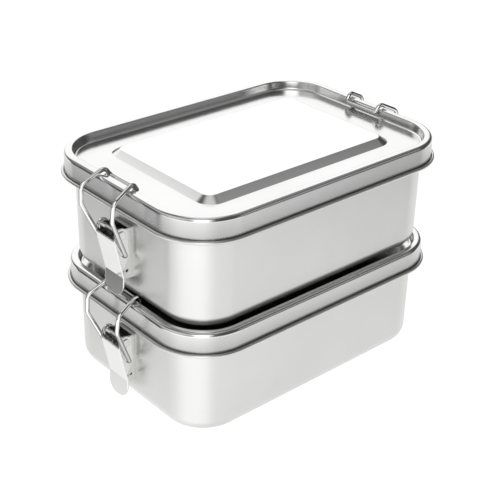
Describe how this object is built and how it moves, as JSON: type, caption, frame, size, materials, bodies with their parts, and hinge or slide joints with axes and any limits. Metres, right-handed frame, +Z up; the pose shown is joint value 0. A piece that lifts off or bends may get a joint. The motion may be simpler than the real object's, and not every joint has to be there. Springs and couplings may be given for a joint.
{
  "type": "stacking metal lunch box",
  "caption": "Stacking steel lunch box: deep rounded-rectangle tiers, each with a pressed lid with a raised panel, a silicone gasket and wire-bail toggle latches on the short sides.",
  "frame": {"origin": "centre of the lower tier's base, on its underside", "axes": "+X along the long side towards the right-hand latches, +Y across the short side towards the back, +Z up"},
  "size_m": [0.1788, 0.1168, 0.1154],
  "materials": {
    "steel_box": "fine satin, bright polished stainless",
    "steel_lid": "fine satin with polished edges",
    "steel_latch": "satin pressed sheet",
    "steel_wire": "bright drawn wire",
    "silicone": "translucent white, matt"
  },
  "bodies": {
    "lower_box": {"lower_body": "steel_box", "lower_right_bracket": "steel_latch", "lower_right_pivot_pin": "steel_wire", "lower_left_bracket": "steel_latch", "lower_left_pivot_pin": "steel_wire"},
    "lower_cover": {"lower_lid": "steel_lid", "lower_gasket": "silicone"},
    "lower_right_lever_body": {"lower_right_lever": "steel_latch"},
    "lower_left_lever_body": {"lower_left_lever": "steel_latch"},
    "lower_right_bail_body": {"lower_right_bail": "steel_wire"},
    "lower_left_bail_body": {"lower_left_bail": "steel_wire"},
    "upper_box": {"upper_body": "steel_box", "upper_right_bracket": "steel_latch", "upper_right_pivot_pin": "steel_wire", "upper_left_bracket": "steel_latch", "upper_left_pivot_pin": "steel_wire"},
    "upper_cover": {"upper_lid": "steel_lid", "upper_gasket": "silicone"},
    "upper_right_lever_body": {"upper_right_lever": "steel_latch"},
    "upper_left_lever_body": {"upper_left_lever": "steel_latch"},
    "upper_right_bail_body": {"upper_right_bail": "steel_wire"},
    "upper_left_bail_body": {"upper_left_bail": "steel_wire"}
  },
  "joints": [
    {"name": "lower_lid_lift", "type": "slide", "parent": "lower_box", "child": "lower_cover", "axis": [0, 0, 1], "range_m": [0, 0.13]},
    {"name": "upper_tier_lift", "type": "slide", "parent": "lower_cover", "child": "upper_box", "axis": [0, 0, 1], "range_m": [0, 0.13]},
    {"name": "upper_lid_lift", "type": "slide", "parent": "upper_box", "child": "upper_cover", "axis": [0, 0, 1], "range_m": [0, 0.13]},
    {"name": "lower_right_lever_turn", "type": "hinge", "parent": "lower_box", "child": "lower_right_lever_body", "pos_m": [0.0809, 0, 0.0348], "axis": [0, -1, 0], "range_deg": [0, 150]},
    {"name": "lower_left_lever_turn", "type": "hinge", "parent": "lower_box", "child": "lower_left_lever_body", "pos_m": [-0.0809, 0, 0.0348], "axis": [0, 1, 0], "range_deg": [0, 150]},
    {"name": "lower_right_bail_turn", "type": "hinge", "parent": "lower_right_lever_body", "child": "lower_right_bail_body", "pos_m": [0.0799, 0, 0.0246], "axis": [0, 1, 0], "range_deg": [0, 300]},
    {"name": "lower_left_bail_turn", "type": "hinge", "parent": "lower_left_lever_body", "child": "lower_left_bail_body", "pos_m": [-0.0799, 0, 0.0246], "axis": [0, -1, 0], "range_deg": [0, 300]},
    {"name": "upper_right_lever_turn", "type": "hinge", "parent": "upper_box", "child": "upper_right_lever_body", "pos_m": [0.0809, 0, 0.0903], "axis": [0, -1, 0], "range_deg": [0, 150]},
    {"name": "upper_left_lever_turn", "type": "hinge", "parent": "upper_box", "child": "upper_left_lever_body", "pos_m": [-0.0809, 0, 0.0903], "axis": [0, 1, 0], "range_deg": [0, 150]},
    {"name": "upper_right_bail_turn", "type": "hinge", "parent": "upper_right_lever_body", "child": "upper_right_bail_body", "pos_m": [0.0799, 0, 0.0801], "axis": [0, 1, 0], "range_deg": [0, 300]},
    {"name": "upper_left_bail_turn", "type": "hinge", "parent": "upper_left_lever_body", "child": "upper_left_bail_body", "pos_m": [-0.0799, 0, 0.0801], "axis": [0, -1, 0], "range_deg": [0, 300]}
  ],
  "couplings": [
    {"joint": "lower_right_bail_turn", "follows": "lower_right_lever_turn", "ratio": 2},
    {"joint": "lower_left_bail_turn", "follows": "lower_left_lever_turn", "ratio": 2},
    {"joint": "upper_right_bail_turn", "follows": "upper_right_lever_turn", "ratio": 2},
    {"joint": "upper_left_bail_turn", "follows": "upper_left_lever_turn", "ratio": 2}
  ]
}
